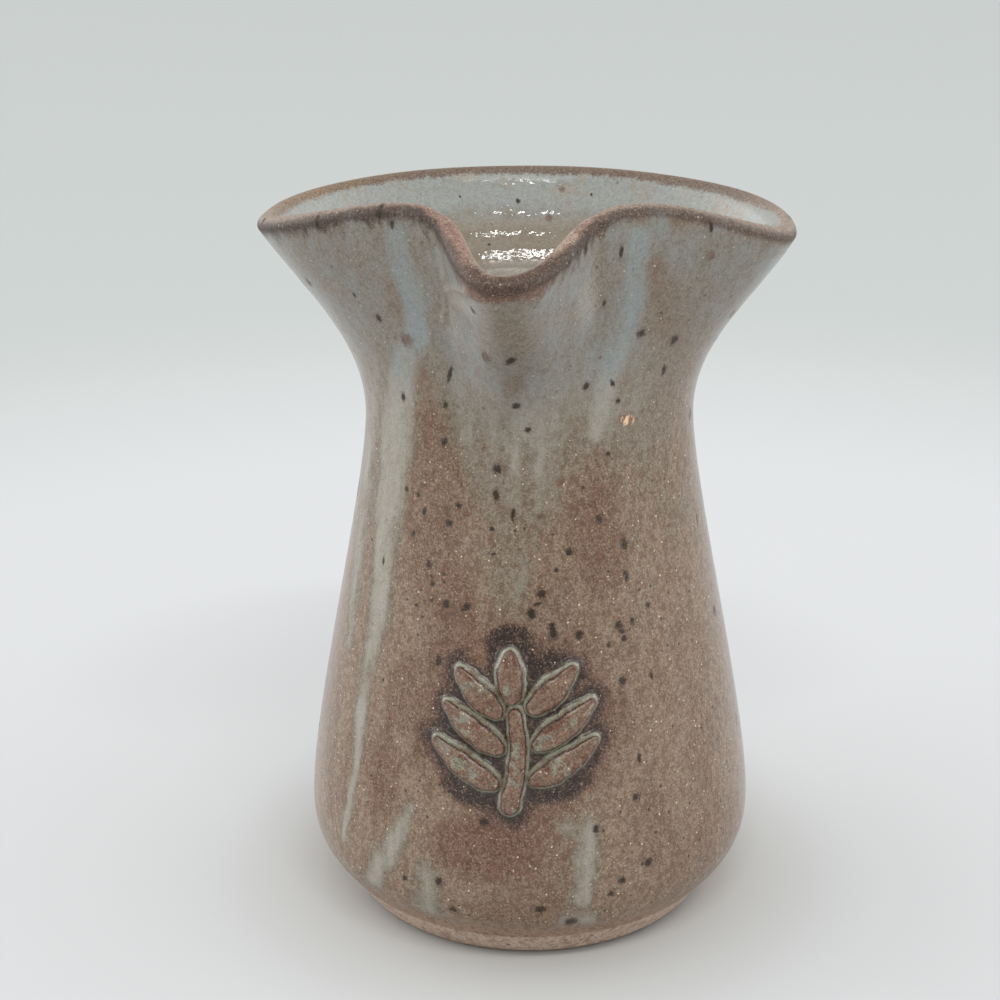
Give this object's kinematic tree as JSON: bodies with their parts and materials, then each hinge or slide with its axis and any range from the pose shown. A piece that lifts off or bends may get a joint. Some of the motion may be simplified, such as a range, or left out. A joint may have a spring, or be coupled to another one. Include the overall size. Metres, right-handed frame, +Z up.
{
  "type": "creamer",
  "caption": "Thrown stoneware creamer without a handle: flat bevelled foot, full low belly, waist and flared collar pinched into a pouring spout, with a leafy sprig relief.",
  "frame": {"origin": "centre of the flat foot, on the surface that the creamer stands on", "axes": "+Z up along the axis of the thrown wall; -Y towards the pouring spout; +X to the right as seen from in front of the spout"},
  "size_m": [0.0881, 0.0903, 0.1283],
  "materials": {
    "glazed_stoneware": "glossy pale blue-grey glaze run over iron brown, with dark iron specks",
    "glazed_sprig": "glossy glaze broken to iron brown on the raised edges and pooled pale round them"
  },
  "bodies": {
    "root": {"body": "glazed_stoneware", "stem": "glazed_sprig", "leaf_tip": "glazed_sprig", "leaf_left_low": "glazed_sprig", "leaf_left_middle": "glazed_sprig", "leaf_left_high": "glazed_sprig", "leaf_right_low": "glazed_sprig", "leaf_right_middle": "glazed_sprig", "leaf_right_high": "glazed_sprig"}
  },
  "joints": []
}
